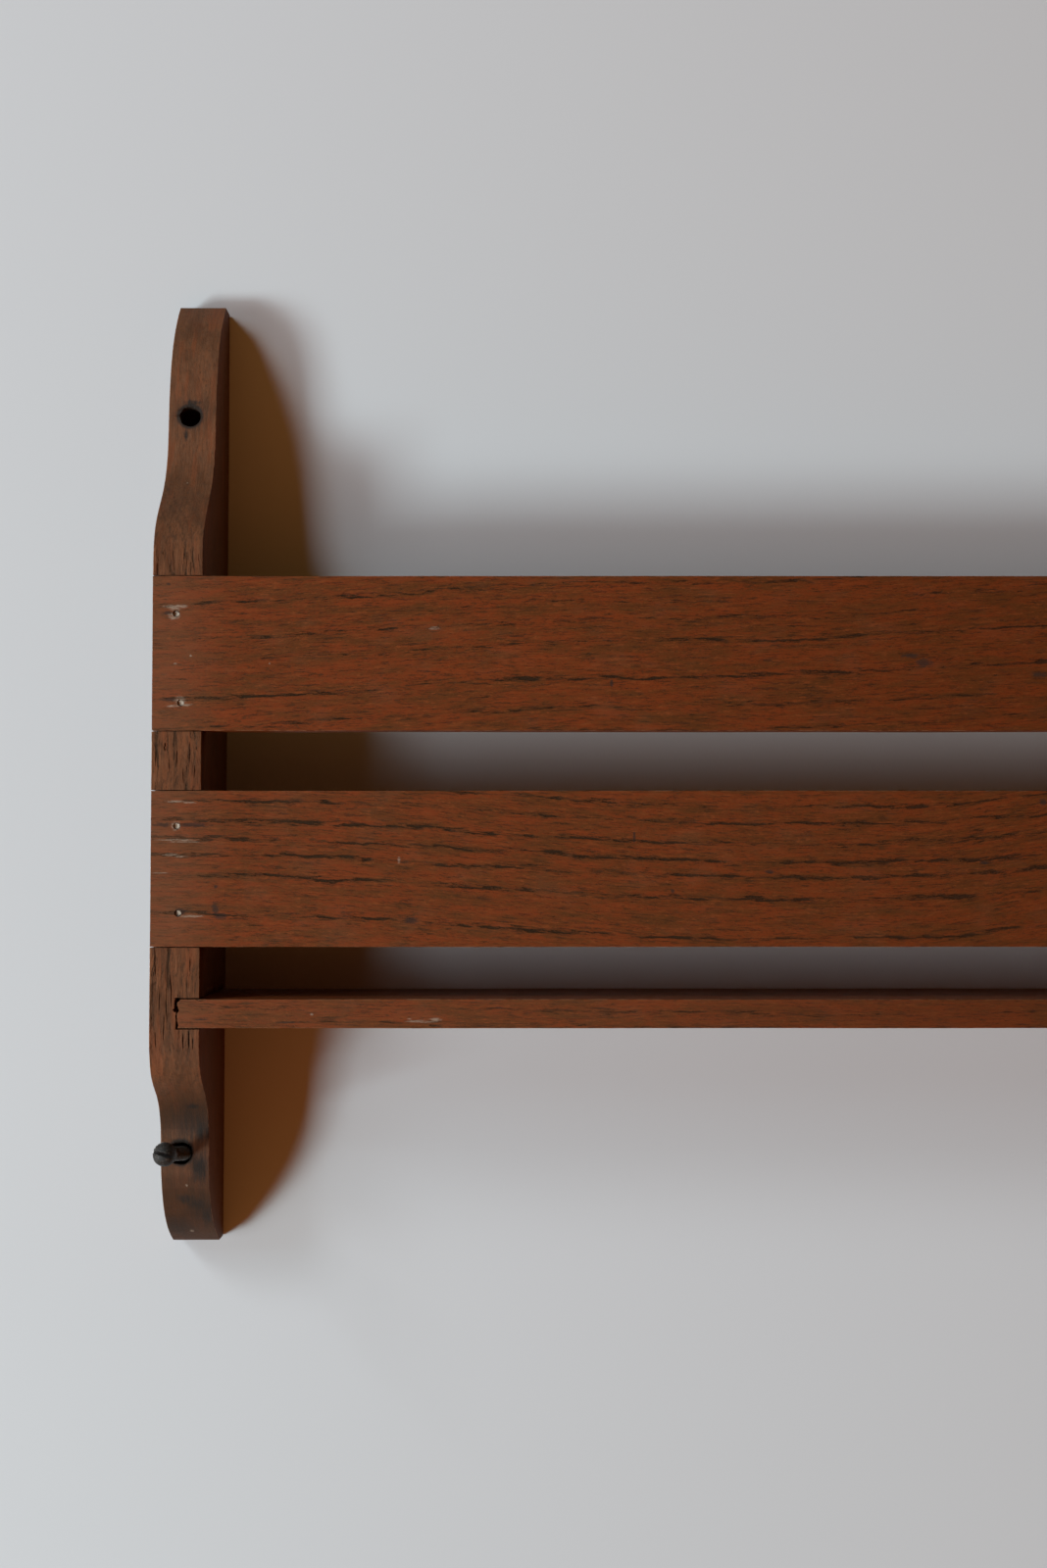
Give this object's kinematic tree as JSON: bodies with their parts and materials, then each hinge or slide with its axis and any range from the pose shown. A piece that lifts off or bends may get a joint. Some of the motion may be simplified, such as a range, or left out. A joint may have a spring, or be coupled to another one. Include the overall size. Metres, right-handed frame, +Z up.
{
  "type": "slatted wall rack for hymnals",
  "caption": "Slatted wooden wall rack for hymnals: shaped side boards, flat slats let into their front edges, a narrow shelf, punched nails and round-head wall screws.",
  "frame": {"origin": "centre of the back plane that lies against the wall, midway along the rack and at half its height", "axes": "+X along the slats to the right as seen from the front, +Y out of the back into the wall so the front faces -Y, +Z up"},
  "size_m": [0.61, 0.0754, 0.377],
  "materials": {
    "side_wood": "worn brown oak with open pores, greyed on the shaped edges, matte",
    "slat_wood": "reddish brown oak with dark open pores under an old thin finish, satin",
    "shelf_wood": "reddish brown oak, plain grain, satin",
    "nail_steel": "dull steel wire nail heads, punched in",
    "screw_steel": "dark aged steel with rust"
  },
  "bodies": {
    "rack": {"left_side": "side_wood", "right_side": "side_wood", "top_slat": "slat_wood", "lower_slat": "slat_wood", "shelf": "shelf_wood", "left_top_slat_upper_nail": "nail_steel", "left_top_slat_lower_nail": "nail_steel", "left_lower_slat_upper_nail": "nail_steel", "left_lower_slat_lower_nail": "nail_steel", "right_top_slat_upper_nail": "nail_steel", "right_top_slat_lower_nail": "nail_steel", "right_lower_slat_upper_nail": "nail_steel", "right_lower_slat_lower_nail": "nail_steel", "left_shelf_front_nail": "nail_steel", "left_shelf_back_nail": "nail_steel", "right_shelf_front_nail": "nail_steel", "right_shelf_back_nail": "nail_steel"},
    "left_wall_screw": {"left_wall_screw": "screw_steel"},
    "right_wall_screw": {"right_wall_screw": "screw_steel"}
  },
  "joints": [
    {"name": "left_wall_screw_travel", "type": "slide", "parent": "rack", "child": "left_wall_screw", "axis": [0, -0.9895, 0.1444], "range_m": [-0.0345, 0.024]},
    {"name": "right_wall_screw_travel", "type": "slide", "parent": "rack", "child": "right_wall_screw", "axis": [0, -0.9895, 0.1444], "range_m": [-0.0345, 0.024]}
  ]
}
